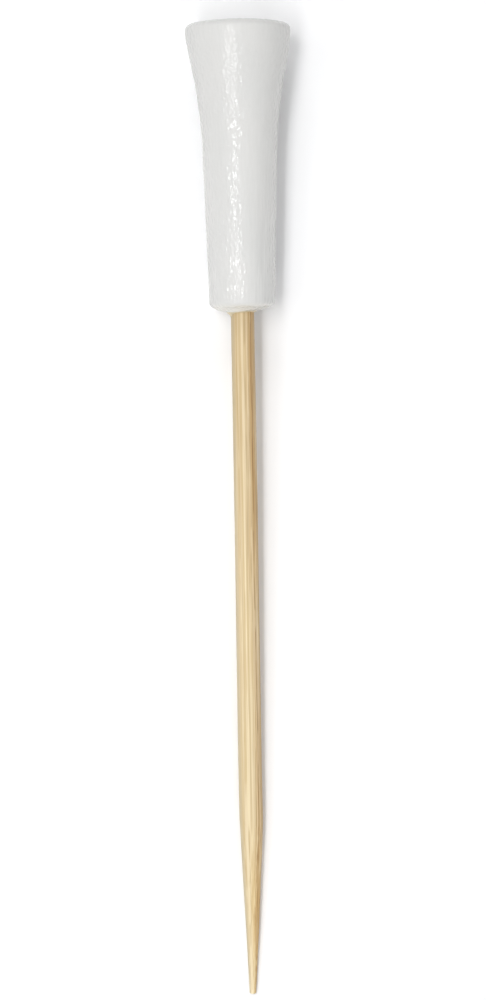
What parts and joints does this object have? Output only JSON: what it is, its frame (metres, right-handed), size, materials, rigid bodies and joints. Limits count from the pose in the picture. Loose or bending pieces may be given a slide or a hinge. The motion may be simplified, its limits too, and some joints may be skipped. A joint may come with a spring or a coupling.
{
  "type": "golf tee pick",
  "caption": "Golf-tee-shaped pick: a turned, white painted wooden head with a dished top, glued on a slim round bamboo stick with a long tapered blunt point.",
  "frame": {"origin": "centre of the stick's blunt tip", "axes": "+Z along the common axis of stick and head, from the tip up to the dished top; X and Y are free, because every piece is turned round Z"},
  "size_m": [0.013, 0.013, 0.12],
  "materials": {
    "white_paint": "gloss white paint over turned hardwood, slightly grainy, with fine ripples along the grain",
    "bamboo": "bare sanded bamboo, pale straw, with fine fibres along the stick",
    "glue": "set wood glue, pale tan, smooth"
  },
  "bodies": {
    "root": {"tee_head": "white_paint", "bamboo_stick": "bamboo", "glue_joint": "glue"}
  },
  "joints": []
}
